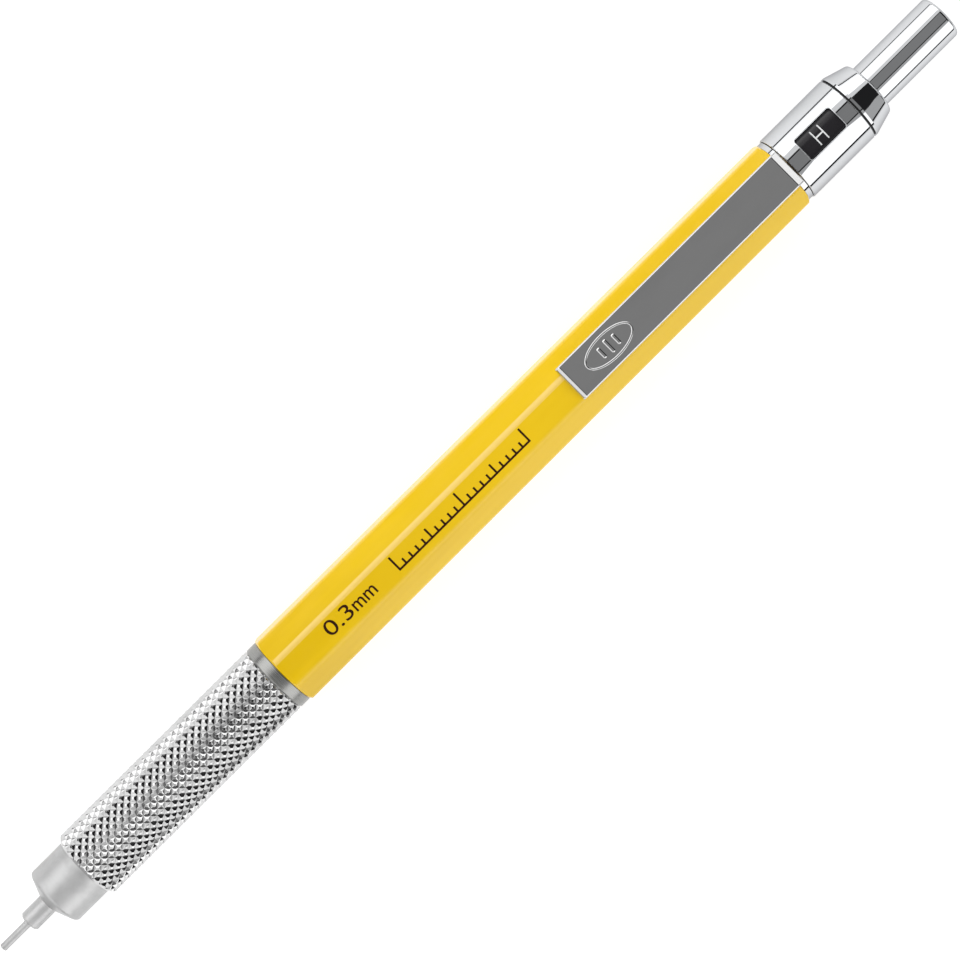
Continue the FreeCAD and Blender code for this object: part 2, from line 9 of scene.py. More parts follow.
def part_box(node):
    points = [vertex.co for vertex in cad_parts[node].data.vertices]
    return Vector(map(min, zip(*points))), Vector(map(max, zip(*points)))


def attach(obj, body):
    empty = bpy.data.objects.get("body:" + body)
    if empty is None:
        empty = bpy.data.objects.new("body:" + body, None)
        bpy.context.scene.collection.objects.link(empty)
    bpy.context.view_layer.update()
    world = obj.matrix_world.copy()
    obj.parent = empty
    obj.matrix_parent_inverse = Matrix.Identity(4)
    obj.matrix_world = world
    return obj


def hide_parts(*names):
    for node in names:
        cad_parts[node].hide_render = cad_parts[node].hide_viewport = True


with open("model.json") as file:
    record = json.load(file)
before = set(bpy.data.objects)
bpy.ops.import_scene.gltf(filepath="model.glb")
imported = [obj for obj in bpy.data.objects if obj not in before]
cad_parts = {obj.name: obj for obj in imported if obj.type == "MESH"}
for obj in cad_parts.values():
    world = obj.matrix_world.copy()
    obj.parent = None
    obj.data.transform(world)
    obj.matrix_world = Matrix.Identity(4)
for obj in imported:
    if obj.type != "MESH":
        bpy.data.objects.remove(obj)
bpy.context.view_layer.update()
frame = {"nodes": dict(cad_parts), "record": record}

# A drafting mechanical pencil on a pale table.  X runs from the tip to the button, Z is up.
# A station is a distance in millimetres from the writing tip, along the pencil.  A roll is an
# angle about the pencil's axis, from straight up towards +Y.

MM = 0.001
NODES = frame["nodes"]
TIP_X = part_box("lead_sleeve")[0].x
AXIS_Z = sum(corner.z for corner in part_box("push_button")) / 2
MIDDLE = 73.4                                   # station of the pencil's middle
CLIP_ROLL = math.radians(8.0)
WINDOW_ROLL = math.radians(10.4)
BARREL_FRONT, BARREL_BACK = 43.85, 121.95
FLAT_FRONT, FLAT_BACK = 4.385, 4.24             # the flats' distance from the axis at each end
FLAT_TAPER = (FLAT_BACK - FLAT_FRONT) / (BARREL_BACK - BARREL_FRONT)
CLIP_UP = Vector((0.0, math.sin(CLIP_ROLL), math.cos(CLIP_ROLL)))
CLIP_LEFT = Vector((0.0, math.cos(CLIP_ROLL), -math.sin(CLIP_ROLL)))


def place(station, across, up, roll=0.0):
    """A point from its station and its offsets from the pencil's axis, all in millimetres.

    The offsets are turned by the roll, an angle about the axis.
    """
    offset = Vector((station, across * math.cos(roll) + up * math.sin(roll),
                     up * math.cos(roll) - across * math.sin(roll)))
    return Vector((TIP_X, 0.0, AXIS_Z)) + offset * MM


def flat_height(station):
    """Distance of the barrel's flat from the axis, which falls towards the rear."""
    return FLAT_FRONT + FLAT_TAPER * (station - BARREL_FRONT)


def linear(*colour):
    """An sRGB colour of 0 to 255 as linear light, with alpha."""
    def channel(value):
        value /= 255.0
        return value / 12.92 if value <= 0.04045 else ((value + 0.055) / 1.055) ** 2.4
    return tuple(channel(value) for value in colour) + (1.0,)


# ---------------------------------------------------------------- materials

class Material:
    """A principled material with a small set of procedural layers."""

    def __init__(self, name, colour, roughness, metallic=0.0):
        self.material = bpy.data.materials.new(name)
        self.material.use_nodes = True
        self.tree = self.material.node_tree
        self.shader = self.tree.nodes["Principled BSDF"]
        self.shader.inputs["Base Color"].default_value = colour
        self.shader.inputs["Roughness"].default_value = roughness
        self.shader.inputs["Metallic"].default_value = metallic
        self.colour = colour
        self.roughness = roughness
        self.height = None
        self.where = self.tree.nodes.new("ShaderNodeTexCoord").outputs["Object"]

    def set(self, **values):
        """Sets sockets of the shader by name, with _ for a space."""
        for name, value in values.items():
            self.shader.inputs[name.replace("_", " ")].default_value = value

    def node(self, kind, **values):
        """A new node, with its settings or its sockets' values."""
        node = self.tree.nodes.new(kind)
        for name, value in values.items():
            if hasattr(node, name):
                setattr(node, name, value)
            else:
                node.inputs[name.replace("_", " ")].default_value = value
        return node

    def stretched(self, along, around):
        """The object's position in metres, with X and the two other axes scaled apart."""
        mapping = self.node("ShaderNodeMapping")
        mapping.inputs["Scale"].default_value = (along, around, around)
        self.tree.links.new(self.where, mapping.inputs["Vector"])
        return mapping.outputs["Vector"]

    def noise(self, along, around, detail=3.0, rough=0.55):
        """Noise with so many cells to the metre along the pencil and around it."""
        node = self.node("ShaderNodeTexNoise", Scale=1.0, Detail=detail, Roughness=rough)
        self.tree.links.new(self.stretched(along, around), node.inputs["Vector"])
        return node.outputs["Fac"]

    def remap(self, source, low, high, to_low, to_high):
        """A value's range low to high taken to another range, clamped."""
        node = self.node("ShaderNodeMapRange")
        for name, value in (("From Min", low), ("From Max", high), ("To Min", to_low),
                            ("To Max", to_high)):
            node.inputs[name].default_value = value
        self.tree.links.new(source, node.inputs["Value"])
        return node.outputs["Result"]

    def vary_roughness(self, source, spread):
        """Roughness that goes from the material's own, less or more by the spread."""
        low, high = max(0.0, self.roughness - spread), self.roughness + spread
        value = self.remap(source, 0.3, 0.7, low, high)
        self.tree.links.new(value, self.shader.inputs["Roughness"])

    def mix_colour(self, source, other, low=0.0, high=1.0):
        """Takes the colour so far towards another one where the source is high."""
        node = self.node("ShaderNodeMix", data_type="RGBA")
        self.tree.links.new(self.remap(source, low, high, 0.0, 1.0), node.inputs[0])
        current = self.shader.inputs["Base Color"]
        if current.links:
            self.tree.links.new(current.links[0].from_socket, node.inputs[6])
        else:
            node.inputs[6].default_value = self.colour
        node.inputs[7].default_value = other
        self.tree.links.new(node.outputs[2], current)

    def bump(self, source, depth, strength=1.0):
        """Raises the surface by the source, with a depth in metres; layers add up."""
        node = self.node("ShaderNodeBump", Strength=strength, Distance=depth)
        self.tree.links.new(source, node.inputs["Height"])
        if self.height is not None:
            self.tree.links.new(self.height, node.inputs["Normal"])
        self.height = node.outputs["Normal"]
        self.tree.links.new(self.height, self.shader.inputs["Normal"])

    def position(self, axis):
        """The position on one axis, in metres."""
        split = self.node("ShaderNodeSeparateXYZ")
        self.tree.links.new(self.where, split.inputs[0])
        return split.outputs[axis]

    def combine(self, kind, first, second):
        """Two values, each a socket or a number, put through a math node of that kind."""
        node = self.node("ShaderNodeMath", operation=kind)
        for i, value in enumerate((first, second)):
            if isinstance(value, float):
                node.inputs[i].default_value = value
            else:
                self.tree.links.new(value, node.inputs[i])
        return node.outputs["Value"]

    def corners(self):
        """The barrel's corners: 0 on the flats, faint wear on every corner, and a painted
        highlight, strongest, along the upper corner towards +Y, which faces the left softbox.
        """
        centred = self.node("ShaderNodeVectorMath", operation="MULTIPLY_ADD")
        centred.inputs[1].default_value = (0.0, 1.0, 1.0)
        centred.inputs[2].default_value = (0.0, 0.0, -AXIS_Z)
        self.tree.links.new(self.where, centred.inputs[0])
        reach = self.node("ShaderNodeVectorMath", operation="LENGTH")
        self.tree.links.new(centred.outputs["Vector"], reach.inputs[0])
        flat = self.combine("MULTIPLY_ADD", self.position("X"), FLAT_TAPER)
        flat.node.inputs[2].default_value = flat_height(MIDDLE) * MM
        proud = self.combine("SUBTRACT", reach.outputs["Value"], flat)
        corner_band = self.remap(proud, 0.205 * MM, 0.245 * MM, 0.0, 0.7)
        patchy = self.remap(self.noise(60.0, 400.0, 4.0), 0.3, 0.6, 0.75, 1.0)
        past_top = self.remap(self.position("Y"), 0.2 * MM, 1.2 * MM, 0.1, 1.0)
        before_side = self.remap(self.position("Y"), 2.6 * MM, 3.4 * MM, 1.0, 0.1)
        # painted highlight: full strength on the corner between 1.2 and 2.6 mm towards +Y, a tenth
        # on the other corners
        lit_corner = self.combine("MULTIPLY", past_top, before_side)
        return self.combine("MULTIPLY", self.combine("MULTIPLY", corner_band, patchy), lit_corner)


def darker(colour, share):
    """The colour times a share, with its alpha kept."""
    return tuple(channel * share for channel in colour[:3]) + (1.0,)


def turned_metal(name, colour, roughness, groove_depth, spread=0.08):
    """Metal with the fine rings that a lathe leaves."""
    metal = Material(name, colour, roughness, 1.0)
    rings = metal.noise(9000.0, 120.0, 4.0, 0.7)
    metal.vary_roughness(rings, spread)
    metal.bump(rings, groove_depth)
    dull = metal.noise(500.0, 500.0, 5.0)
    metal.mix_colour(dull, darker(colour, 0.8), 0.45, 0.8)
    return metal


def moulded(name, colour, roughness, grain=2.0e-6):
    """Moulded plastic or rubber with a fine grain."""
    plastic = Material(name, colour, roughness)
    grains = plastic.noise(6000.0, 6000.0, 3.0)
    plastic.vary_roughness(plastic.noise(400.0, 400.0), 0.08)
    plastic.bump(grains, grain)
    plastic.mix_colour(plastic.noise(150.0, 150.0), darker(colour, 0.85), 0.4, 0.8)
    return plastic


def printed(name, colour, thin_colour, roughness):
    """Printing ink, with patches of another colour where it lies thin."""
    ink = Material(name, colour, roughness)
    ink.vary_roughness(ink.noise(3000.0, 3000.0), 0.1)
    ink.mix_colour(ink.noise(2500.0, 2500.0, 4.0), thin_colour, 0.5, 0.8)
    ink.bump(ink.noise(9000.0, 9000.0), 1.0e-6)
    return ink


def make_materials():
    """All materials: one for each of the record's slots, and a few for prints and the land."""
    found = {}

    chrome = Material("chrome_plate", (0.64, 0.65, 0.665, 1.0), 0.03, 1.0)
    chrome.vary_roughness(chrome.noise(350.0, 350.0, 4.0), 0.02)
    chrome.bump(chrome.noise(900.0, 9000.0, 2.0), 2.0e-8)
    chrome.mix_colour(chrome.noise(60.0, 200.0), (0.59, 0.60, 0.61, 1.0), 0.45, 0.8)
    chrome.set(Specular_Tint=(0.55, 0.55, 0.56, 1.0))
    found["chrome"] = chrome

    clip = Material("clip_metal", (0.66, 0.66, 0.66, 1.0), 0.09, 1.0)
    grain = clip.noise(250.0, 12000.0, 4.0, 0.6)
    clip.vary_roughness(grain, 0.05)
    clip.bump(grain, 6.0e-8)
    clip.mix_colour(clip.noise(120.0, 400.0), (0.62, 0.62, 0.62, 1.0), 0.4, 0.8)
    found["clip_metal"] = clip

    found["nose_metal"] = turned_metal("nose_metal", (0.52, 0.52, 0.52, 1.0), 0.46, 1.0e-7, 0.04)
    found["sleeve_steel"] = turned_metal("sleeve_steel", (0.51, 0.51, 0.51, 1.0), 0.5, 1.0e-7,
                                         0.04)
    found["grip_metal"] = turned_metal("grip_metal", (0.64, 0.64, 0.64, 1.0), 0.1, 1.0e-7, 0.03)
    found["land_metal"] = turned_metal("land_metal", (0.32, 0.32, 0.31, 1.0), 0.28, 1.0e-7, 0.05)
    found["brass"] = turned_metal("brass", (0.80, 0.58, 0.26, 1.0), 0.22, 4.0e-7)
    found["spring_steel"] = turned_metal("spring_steel", (0.55, 0.55, 0.56, 1.0), 0.25, 2.0e-7)
    found["ferrule_metal"] = turned_metal("ferrule_metal", (0.80, 0.80, 0.80, 1.0), 0.3, 4.0e-7)

    paint = Material("barrel_paint", linear(242, 199, 10), 0.22)
    paint.set(Coat_Weight=0.25, Coat_Roughness=0.05, Coat_IOR=1.5, Specular_IOR_Level=0.4)
    # painted shade: the yellow grows darker towards the barrel's front end, by the grip
    paint.mix_colour(paint.position("X"), linear(228, 187, 4), 0.006, -0.030)
    paint.mix_colour(paint.noise(40.0, 300.0), linear(246, 205, 24), 0.45, 0.85)
    # painted highlight: a pale line along the barrel's corner that faces the left softbox, with
    # faint wear on the other corners
    paint.mix_colour(paint.corners(), linear(253, 218, 128))
    paint.vary_roughness(paint.noise(250.0, 900.0, 4.0), 0.05)
    paint.bump(paint.noise(900.0, 900.0, 2.0), 2.5e-6)
    found["barrel_paint"] = paint

    found["ink"] = printed("print_ink", linear(46, 18, 6), linear(62, 28, 10), 0.6)
    found["ink"].set(Specular_IOR_Level=0.1)
    found["white_ink"] = printed("drum_print", linear(238, 240, 240), linear(214, 216, 216), 0.4)

    found["drum_black"] = moulded("drum_black", linear(30, 28, 32), 0.22, 1.0e-6)
    found["washer_black"] = moulded("washer_black", linear(24, 24, 25), 0.6)
    found["retainer_rubber"] = moulded("retainer_rubber", linear(28, 28, 28), 0.8)
    found["inner_plastic"] = moulded("inner_plastic", linear(210, 208, 200), 0.5)
    found["tube_plastic"] = moulded("tube_plastic", linear(60, 60, 62), 0.45)
    found["eraser_rubber"] = moulded("eraser_rubber", linear(238, 238, 234), 0.85, 6.0e-6)
    found["graphite"] = turned_metal("graphite", (0.07, 0.07, 0.075, 1.0), 0.4, 2.0e-7)
    found["graphite"].set(Metallic=0.3)
    return found


MATERIALS = make_materials()


def paint_object(obj, slot):
    """Gives every material slot of an object the one material."""
    obj.data.materials.clear()
    obj.data.materials.append(MATERIALS[slot].material)


for subpart in frame["record"]["subparts"]:
    paint_object(NODES[subpart["node"]], subpart["material_slot"])


# ---------------------------------------------------------------- mesh helpers

def add_mesh(name, mesh, slot, body, smooth=False, replaced=()):
    """Puts a mesh in the scene, riding on a body, with a material."""
    obj = bpy.data.objects.new(name, mesh)
    bpy.context.scene.collection.objects.link(obj)
    for polygon in mesh.polygons:
        polygon.use_smooth = smooth
    paint_object(obj, slot)
    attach(obj, body)
    if replaced:
        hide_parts(*replaced)
    return obj


def mesh_from(name, points, faces):
    """A mesh from points and faces, with its faces turned outwards."""
    mesh = bpy.data.meshes.new(name)
    mesh.from_pydata([tuple(p) for p in points], [], faces)
    tidy = bmesh.new()
    tidy.from_mesh(mesh)
    bmesh.ops.recalc_face_normals(tidy, faces=tidy.faces)
    tidy.to_mesh(mesh)
    tidy.free()
    return mesh


def turned_solid(outline, sides):
    """Points and faces of a ring turned about the axis from a closed (station, radius) outline."""
    points, faces = [], []
    count = len(outline)
    for k in range(sides):
        angle = 2 * math.pi * k / sides
        for station, radius in outline:
            points.append(place(station, radius * math.sin(angle), radius * math.cos(angle)))
    for k in range(sides):
        this, following = k * count, (k + 1) % sides * count
        for i in range(count):
            j = (i + 1) % count
            faces.append((this + i, this + j, following + j, following + i))
    return points, faces


# ---------------------------------------------------------------- knurled grip

KNURL_PITCH = 1.09          # length of a diamond along the grip
KNURL_ROUND = 24            # diamonds in one row round it
KNURL_DEPTH = 0.23
KNURL_TOP = 0.3             # width of a pyramid's flat top, as a share of its foot
CREST = 4.355               # radius over the crests
KNURL_FRONT, KNURL_BACK = 13.0, 42.4
KNURL_OVER = 0.3            # how far the pattern runs past both ends of its blank
BLANK_RADIUS = 4.38
LAND_RADIUS, LAND_BACK = 4.335, 43.84
SPIGOT_RADIUS, SPIGOT_BACK = 3.49, 51.98
KNURL_BORE, LAND_BORE, SPIGOT_BORE = 3.06, 2.97, 2.62


def knurl_mesh():
    """A closed tube whose outside is a diamond knurl: a blunt pyramid in every diamond."""
    points, faces, known = [], [], {}

    def corner(station, turn, radius):
        key = (round(station, 4), round(turn % 1.0, 5) % 1.0, round(radius, 3))
        if key not in known:
            angle = 2 * math.pi * turn
            known[key] = len(points)
            points.append(place(station, radius * math.sin(angle), radius * math.cos(angle)))
        return known[key]

    rows = int((KNURL_BACK - KNURL_FRONT) / KNURL_PITCH) + 3
    start = KNURL_FRONT - 1.2 * KNURL_PITCH
    half_turn = 0.5 / KNURL_ROUND
    valley = CREST - KNURL_DEPTH
    for half_row in range(2 * rows):
        station = start + half_row * KNURL_PITCH / 2
        for k in range(KNURL_ROUND):
            turn = (k + 0.5 * (half_row % 2)) / KNURL_ROUND
            sides = [(-1, 0), (0, 1), (1, 0), (0, -1)]
            low = [corner(station + a * KNURL_PITCH / 2, turn + b * half_turn, valley)
                   for a, b in sides]
            top = [corner(station + a * KNURL_TOP * KNURL_PITCH / 2,
                          turn + b * KNURL_TOP * half_turn, CREST) for a, b in sides]
            faces.append(tuple(top))
            for i in range(4):
                j = (i + 1) % 4
                faces.append((low[i], low[j], top[j], top[i]))
    mesh = mesh_from("knurl", points, faces)
    cut = bmesh.new()
    cut.from_mesh(mesh)
    for station, outward in ((KNURL_FRONT - KNURL_OVER, -1), (KNURL_BACK + KNURL_OVER, 1)):
        everything = cut.verts[:] + cut.edges[:] + cut.faces[:]
        bmesh.ops.bisect_plane(cut, geom=everything, plane_co=place(station, 0, 0),
                               plane_no=(outward, 0, 0), clear_outer=True)
    rims = [edge for edge in cut.edges if edge.is_boundary]
    bmesh.ops.holes_fill(cut, edges=rims)
    bmesh.ops.triangulate(cut, faces=cut.faces)
    bmesh.ops.recalc_face_normals(cut, faces=cut.faces)
    cut.to_mesh(mesh)
    cut.free()
    return mesh


def make_grip():
    """The grip: the knurl cut to its chamfered blank, then the smooth land and the spigot."""
    blank = [(KNURL_FRONT, KNURL_BORE), (KNURL_FRONT, 3.96), (KNURL_FRONT + 0.42, BLANK_RADIUS),
             (KNURL_BACK - 0.22, BLANK_RADIUS), (KNURL_BACK, 4.14), (KNURL_BACK, KNURL_BORE)]
    blank_mesh = mesh_from("knurl_blank", *turned_solid(blank, sides=144))
    blank_object = bpy.data.objects.new("knurl_blank", blank_mesh)
    bpy.context.scene.collection.objects.link(blank_object)
    knurl = add_mesh("grip_knurl", knurl_mesh(), "grip_metal", "holder", replaced=("grip",))
    cutter = knurl.modifiers.new("blank", "BOOLEAN")
    cutter.operation, cutter.solver, cutter.object = "INTERSECT", "EXACT", blank_object
    bpy.context.view_layer.update()
    shown = knurl.evaluated_get(bpy.context.evaluated_depsgraph_get())
    finished = bpy.data.meshes.new_from_object(shown)
    knurl.modifiers.clear()
    knurl.data = finished
    bpy.data.objects.remove(blank_object)
    paint_object(knurl, "grip_metal")
    for polygon in finished.polygons:
        polygon.use_smooth = False

    land = [(KNURL_BACK, LAND_BORE), (KNURL_BACK, 4.12), (KNURL_BACK + 0.06, 4.28),
            (KNURL_BACK + 0.14, LAND_RADIUS), (KNURL_BACK + 0.18, LAND_RADIUS),
            (LAND_BACK - 0.17, LAND_RADIUS), (LAND_BACK - 0.13, LAND_RADIUS),
            (LAND_BACK - 0.04, 4.30), (LAND_BACK, 4.22), (LAND_BACK, 4.1),
            (LAND_BACK, SPIGOT_RADIUS), (SPIGOT_BACK, SPIGOT_RADIUS), (SPIGOT_BACK, SPIGOT_BORE),
            (LAND_BACK + 0.36, SPIGOT_BORE), (LAND_BACK + 0.06, LAND_BORE)]
    add_mesh("grip_land", mesh_from("grip_land", *turned_solid(land, sides=192)), "land_metal",
             "holder", smooth=True, replaced=("grip",))


make_grip()


# ---------------------------------------------------------------- lettering and marks

def letters_mesh(text, height, weight, narrow=1.0):
    """Flat letters centred on the origin, so high, with strokes made heavier by the weight."""
    curve = bpy.data.curves.new("letters", "FONT")
    curve.body = text
    curve.size = 1.0
    curve.offset = weight
    curve.resolution_u = 6
    holder = bpy.data.objects.new("letters", curve)
    bpy.context.scene.collection.objects.link(holder)
    bpy.context.view_layer.update()
    shown = holder.evaluated_get(bpy.context.evaluated_depsgraph_get())
    mesh = bpy.data.meshes.new_from_object(shown)
    bpy.data.objects.remove(holder)
    xs = [v.co.x for v in mesh.vertices]
    ys = [v.co.y for v in mesh.vertices]
    scale = height / (max(ys) - min(ys))
    middle = Vector(((max(xs) + min(xs)) / 2, (max(ys) + min(ys)) / 2, 0))
    for vertex in mesh.vertices:
        vertex.co = (vertex.co - middle) * scale
        vertex.co.x *= narrow
    return mesh


def sliced(mesh, step):
    """Cuts a flat mesh into strips across Y, so that it can be wrapped round a cylinder."""
    cut = bmesh.new()
    cut.from_mesh(mesh)
    low = min(v.co.y for v in mesh.vertices)
    high = max(v.co.y for v in mesh.vertices)
    level = low + step
    while level < high:
        everything = cut.verts[:] + cut.edges[:] + cut.faces[:]
        bmesh.ops.bisect_plane(cut, geom=everything, plane_co=(0, level, 0), plane_no=(0, 1, 0))
        level += step
    cut.to_mesh(mesh)
    cut.free()
    return mesh


INK_LIFT = 0.006            # the ink's height over what it is printed on
INK_ACROSS = 0.21           # the printed line's offset from the flat's middle
FIGURE_HEIGHT, UNIT_HEIGHT, UNIT_GAP = 1.77, 1.1, 0.32
PRINT_START, SCALE_START = 50.5, 61.08
SCALE_TICKS, SCALE_PEN = 20, 0.24
SCALE_BASE, SCALE_TOP, HALF_TICK_TOP, TICK_TOP = -0.98, 0.98, 0.45, -0.12


def on_flat(mesh, station, across):
    """Lays a flat mesh, drawn in millimetres, on the barrel's upper flat."""
    for vertex in mesh.vertices:
        s = station + vertex.co.x
        vertex.co = place(s, across + vertex.co.y, flat_height(s) + INK_LIFT)
    return mesh


def make_print():
    """The lead size, and a graduated scale of ruled strokes behind it."""
    figures = letters_mesh("0.3", FIGURE_HEIGHT, 0.0, 1.32)
    half_width = max(v.co.x for v in figures.vertices)
    add_mesh("print_size", on_flat(figures, PRINT_START + half_width, INK_ACROSS), "ink", "holder")
    unit = letters_mesh("mm", UNIT_HEIGHT, 0.006, 0.96)
    unit_station = (PRINT_START + 2 * half_width + UNIT_GAP
                    + max(v.co.x for v in unit.vertices))
    unit_across = INK_ACROSS - (FIGURE_HEIGHT - UNIT_HEIGHT) / 2
    add_mesh("print_unit", on_flat(unit, unit_station, unit_across), "ink", "holder")

    points, faces = [], []

    def stroke(x0, x1, y0, y1):
        """One ruled stroke, a rectangle."""
        first = len(points)
        points.extend([(x0, y0, 0), (x1, y0, 0), (x1, y1, 0), (x0, y1, 0)])
        faces.append((first, first + 1, first + 2, first + 3))

    half_pen = SCALE_PEN / 2
    for i in range(SCALE_TICKS + 1):
        reach = SCALE_TOP if i % 10 == 0 else HALF_TICK_TOP if i % 5 == 0 else TICK_TOP
        stroke(i - half_pen, i + half_pen, SCALE_BASE + SCALE_PEN, reach)
    stroke(-half_pen, SCALE_TICKS + half_pen, SCALE_BASE, SCALE_BASE + SCALE_PEN)
    scale = bpy.data.meshes.new("print_scale")
    scale.from_pydata(points, [], faces)
    add_mesh("print_scale", on_flat(scale, SCALE_START, INK_ACROSS), "ink", "holder")


make_print()


DRUM_RADIUS = 3.85
WINDOW = 127.44             # station of the window's middle
GRADE_STATION = WINDOW - 0.13
GRADE_HEIGHT = 2.0
GRADE_SLICE = 0.12          # width of the strips that bend a letter round the drum
GRADES = ("H", "2H", "HB", "B", "2B", "F", "4H", "3H")


def make_grades():
    """The lead grades round the drum, one of them in the window."""
    for i, grade in enumerate(GRADES):
        mesh = sliced(letters_mesh(grade, GRADE_HEIGHT, -0.016, 0.76), GRADE_SLICE)
        turn = 2 * math.pi * i / len(GRADES)
        for vertex in mesh.vertices:
            angle = vertex.co.y / DRUM_RADIUS + turn
            radius = DRUM_RADIUS + INK_LIFT
            vertex.co = place(GRADE_STATION + vertex.co.x, radius * math.sin(angle),
                              radius * math.cos(angle), WINDOW_ROLL)
        add_mesh(f"grade_mark_{i + 1}", mesh, "white_ink", "grade_dial")


make_grades()


# ---------------------------------------------------------------- window rim and clip badge

def rounded_rectangle(half_long, half_wide, radius, per_corner=8):
    """Points of a rounded rectangle's outline about the origin, anticlockwise."""
    outline = []
    for quarter, (sx, sy) in enumerate(((1, 1), (-1, 1), (-1, -1), (1, -1))):
        for i in range(per_corner + 1):
            angle = math.pi / 2 * (quarter + i / per_corner)
            outline.append((sx * (half_long - radius) + radius * math.cos(angle),
                            sy * (half_wide - radius) + radius * math.sin(angle)))
    return outline


def refined(outline, step):
    """The outline with extra points, so that no side is longer than the step."""
    fine = []
    for (x0, y0), (x1, y1) in zip(outline, outline[1:] + outline[:1]):
        pieces = max(1, math.ceil(math.hypot(x1 - x0, y1 - y0) / step))
        fine.extend((x0 + (x1 - x0) * i / pieces, y0 + (y1 - y0) * i / pieces)
                    for i in range(pieces))
    return fine


def band_mesh(name, loops):
    """A closed surface through loops of as many points each, the last joined to the first."""
    points = [point for loop in loops for point in loop]
    count, rings = len(loops[0]), len(loops)
    faces = []
    for r in range(rings):
        for i in range(count):
            j = (i + 1) % count
            here, there = r * count, (r + 1) % rings * count
            faces.append((here + i, here + j, there + j, there + i))
    return mesh_from(name, points, faces)


WINDOW_HALF_LONG, WINDOW_HALF_WIDE, WINDOW_CORNER = 2.70, 1.52, 0.35


def make_window_rim():
    """The bright bevelled edge of the window."""
    loops = []
    for grow, radius in ((0.10, 4.31), (0.07, 4.338), (0.02, 4.335), (-0.05, 4.27), (-0.05, 3.95),
                         (0.02, 3.95)):
        outline = refined(rounded_rectangle(WINDOW_HALF_LONG + grow, WINDOW_HALF_WIDE + grow,
                                            WINDOW_CORNER + grow), 0.15)
        loops.append([
            place(WINDOW + along, across, math.sqrt(radius ** 2 - across ** 2), WINDOW_ROLL)
            for along, across in outline
        ])
    add_mesh("window_rim", band_mesh("window_rim", loops), "chrome", "holder", smooth=True)


make_window_rim()


CLIP_TOP = 6.35             # height of the clip's face over the pencil's axis
BADGE_MIDDLE = 94.45
BADGE_HALF_LONG, BADGE_HALF_WIDE = 3.3, 1.45
BADGE_TOP, BADGE_FOOT = 0.045, -0.03            # heights over the clip's face
BADGE_HALF_STROKE = 0.17
RIB_HALF_LONG, RIB_CORNER = 0.28, 0.2
RIBS = ((-1.1, 0.75), (0.0, 0.95), (1.1, 0.75))     # each rib's place and half width


def on_clip(along, across, rise):
    """A point over the clip's face, measured from the badge's middle."""
    return place(BADGE_MIDDLE + along, across, CLIP_TOP + rise, CLIP_ROLL)


def make_badge():
    """A plain raised ornament on the clip: an oval ring round three ribs."""
    section = ((-BADGE_HALF_STROKE, BADGE_FOOT), (-0.1, 0.02), (0.0, BADGE_TOP), (0.1, 0.02),
               (BADGE_HALF_STROKE, BADGE_FOOT))
    angles = [2 * math.pi * i / 96 for i in range(96)]
    loops = []
    for shift, rise in section:
        loops.append([on_clip((BADGE_HALF_LONG + shift) * math.cos(angle),
                              (BADGE_HALF_WIDE + shift) * math.sin(angle), rise)
                      for angle in angles])
    add_mesh("badge_ring", band_mesh("badge_ring", loops), "clip_metal", "clip", smooth=True)
    for rib, (shift, reach) in enumerate(RIBS):
        points = []
        for grow, rise in ((0.0, BADGE_FOOT), (-BADGE_HALF_STROKE, BADGE_TOP)):
            outline = rounded_rectangle(RIB_HALF_LONG + grow, reach + grow,
                                        RIB_CORNER + grow * 0.8, 4)
            points += [on_clip(shift + along, across, rise) for along, across in outline]
        count = len(outline)
        faces = [(i, (i + 1) % count, count + (i + 1) % count, count + i) for i in range(count)]
        faces += [tuple(range(count)), tuple(range(count, 2 * count))]
        add_mesh(f"badge_rib_{rib + 1}", mesh_from("badge_rib", points, faces), "clip_metal",
                 "clip")


make_badge()


# ---------------------------------------------------------------- table, light and camera

TABLE_HALF = 3.0
GLOW_FROM, GLOW_TO = 0.11, 0.30         # distances from the pencil's middle, in metres
GLOW_UNDER, GLOW_AROUND = 0.74, 0.30    # strengths of the glow up to the first and past the last


def make_floor():
    """A pale back-lit table top, brightest under the pencil."""
    half = TABLE_HALF
    mesh = bpy.data.meshes.new("table")
    mesh.from_pydata([(-half, -half, 0), (half, -half, 0), (half, half, 0), (-half, half, 0)],
                     [], [(0, 1, 2, 3)])
    floor = bpy.data.objects.new("table", mesh)
    bpy.context.scene.collection.objects.link(floor)
    pale = Material("table", (0.42, 0.42, 0.42, 1.0), 0.9)
    pale.vary_roughness(pale.noise(40.0, 40.0), 0.05)
    pale.bump(pale.noise(3000.0, 3000.0), 2.0e-6)
    reach = pale.node("ShaderNodeVectorMath", operation="LENGTH")
    pale.tree.links.new(pale.where, reach.inputs[0])
    glow = pale.remap(reach.outputs["Value"], GLOW_FROM, GLOW_TO, GLOW_UNDER, GLOW_AROUND)
    pale.tree.links.new(glow, pale.shader.inputs["Emission Strength"])
    pale.set(Emission_Color=(1.0, 1.0, 1.0, 1.0))
    mesh.materials.append(pale.material)


make_floor()


LIGHT_DISTANCE = 0.62       # from the pencil to each panel, in metres


def add_panel(name, direction, side, width, half_angle, centre, radiance):
    """An even panel that faces the pencil from a direction, and spans twice the half angle.

    The side is the direction of its width, and the centre is the place that it faces.
    """
    light = bpy.data.lights.new(name, "AREA")
    light.shape = "RECTANGLE"
    light.size = width
    light.size_y = 2 * LIGHT_DISTANCE * math.tan(half_angle)
    light.energy = radiance * math.pi * light.size * light.size_y
    obj = bpy.data.objects.new(name, light)
    obj.location = centre + direction * LIGHT_DISTANCE
    axes = (side, direction.cross(side), direction)
    obj.rotation_euler = Matrix(axes).transposed().to_euler()
    bpy.context.scene.collection.objects.link(obj)


def aim(angles, sideways):
    """The direction halfway between two angles from the clip's, and half the angle between."""
    low, high = (math.radians(angle) for angle in angles)
    middle = (low + high) / 2
    return CLIP_UP * math.cos(middle) + sideways * math.sin(middle), (high - low) / 2


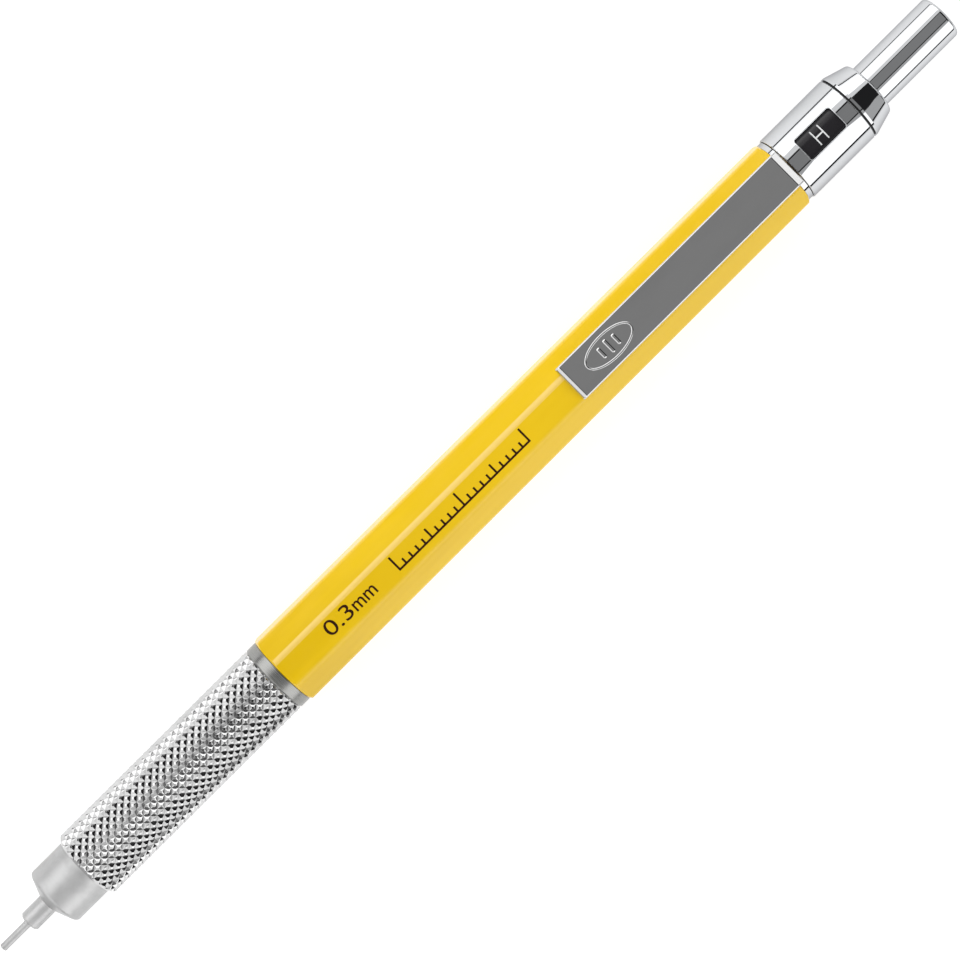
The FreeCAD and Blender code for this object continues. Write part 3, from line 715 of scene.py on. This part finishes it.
def softbox(name, across, along, radiance):
    """A panel over the pencil, between two angles across it and two places along it.

    The angles are in degrees from the clip's direction about the pencil's axis, and the places
    in metres from the pencil's middle.
    """
    direction, half_angle = aim(across, CLIP_LEFT)
    centre = place(MIDDLE + sum(along) / 2 / MM, 0, 0)
    add_panel(name, direction, Vector((1, 0, 0)), along[1] - along[0], half_angle, centre,
              radiance)


def end_panel(name, tilt, half_width, radiance, sense):
    """A panel over one end of the pencil, between two tilts from the clip's direction."""
    direction, half_angle = aim(tilt, Vector((sense, 0, 0)))
    add_panel(name, direction, CLIP_LEFT, 2 * half_width, half_angle, place(MIDDLE, 0, 0),
              radiance)


softbox("softbox_left", (18.0, 71.0), (-0.90, 0.90), 0.92)
softbox("softbox_left_edge", (71.0, 78.0), (0.138, 0.75), 1.5)
softbox("softbox_left_core", (32.0, 71.0), (-0.26, 0.75), 0.93)
softbox("softbox_right", (-91.0, -44.0), (-0.60, 0.42), 1.7)
softbox("softbox_right_tail", (-91.0, -44.0), (0.42, 0.62), 0.5)
softbox("fill_right", (-44.0, -33.0), (-0.32, 0.30), 0.5)
softbox("ceiling_card", (-29.0, 14.5), (-0.05, 0.26), 0.26)
end_panel("front_panel", (12.0, 80.0), 0.45, 1.1, -1)
end_panel("rear_panel", (66.0, 80.0), 0.40, 1.3, 1)


def make_studio():
    """A dark room round the lights."""
    world = bpy.data.worlds.new("studio")
    world.use_nodes = True
    background = world.node_tree.nodes["Background"]
    background.inputs["Color"].default_value = (0.02, 0.02, 0.021, 1.0)
    bpy.context.scene.world = world
    bpy.context.scene.view_settings.view_transform = "Standard"


make_studio()


CAMERA_TILT = math.radians(44.82)
CAMERA_STATION, CAMERA_ACROSS, CAMERA_HEIGHT = 74.43, -0.23, 330.0
LENS, SENSOR_WIDTH = 111.46, 36.0


def make_camera():
    """A camera straight over the clip's face, turned so that the pencil rises to the right."""
    along = Vector((1, 0, 0))
    right = along * math.cos(CAMERA_TILT) - CLIP_LEFT * math.sin(CAMERA_TILT)
    up = along * math.sin(CAMERA_TILT) + CLIP_LEFT * math.cos(CAMERA_TILT)
    data = bpy.data.cameras.new("camera")
    data.sensor_width = SENSOR_WIDTH
    data.lens = LENS
    data.clip_start, data.clip_end = 0.01, 20.0
    camera = bpy.data.objects.new("camera", data)
    camera.location = place(CAMERA_STATION, CAMERA_ACROSS, CAMERA_HEIGHT, CLIP_ROLL)
    camera.rotation_euler = Matrix((right, up, CLIP_UP)).transposed().to_euler()
    bpy.context.scene.collection.objects.link(camera)
    bpy.context.scene.camera = camera


make_camera()
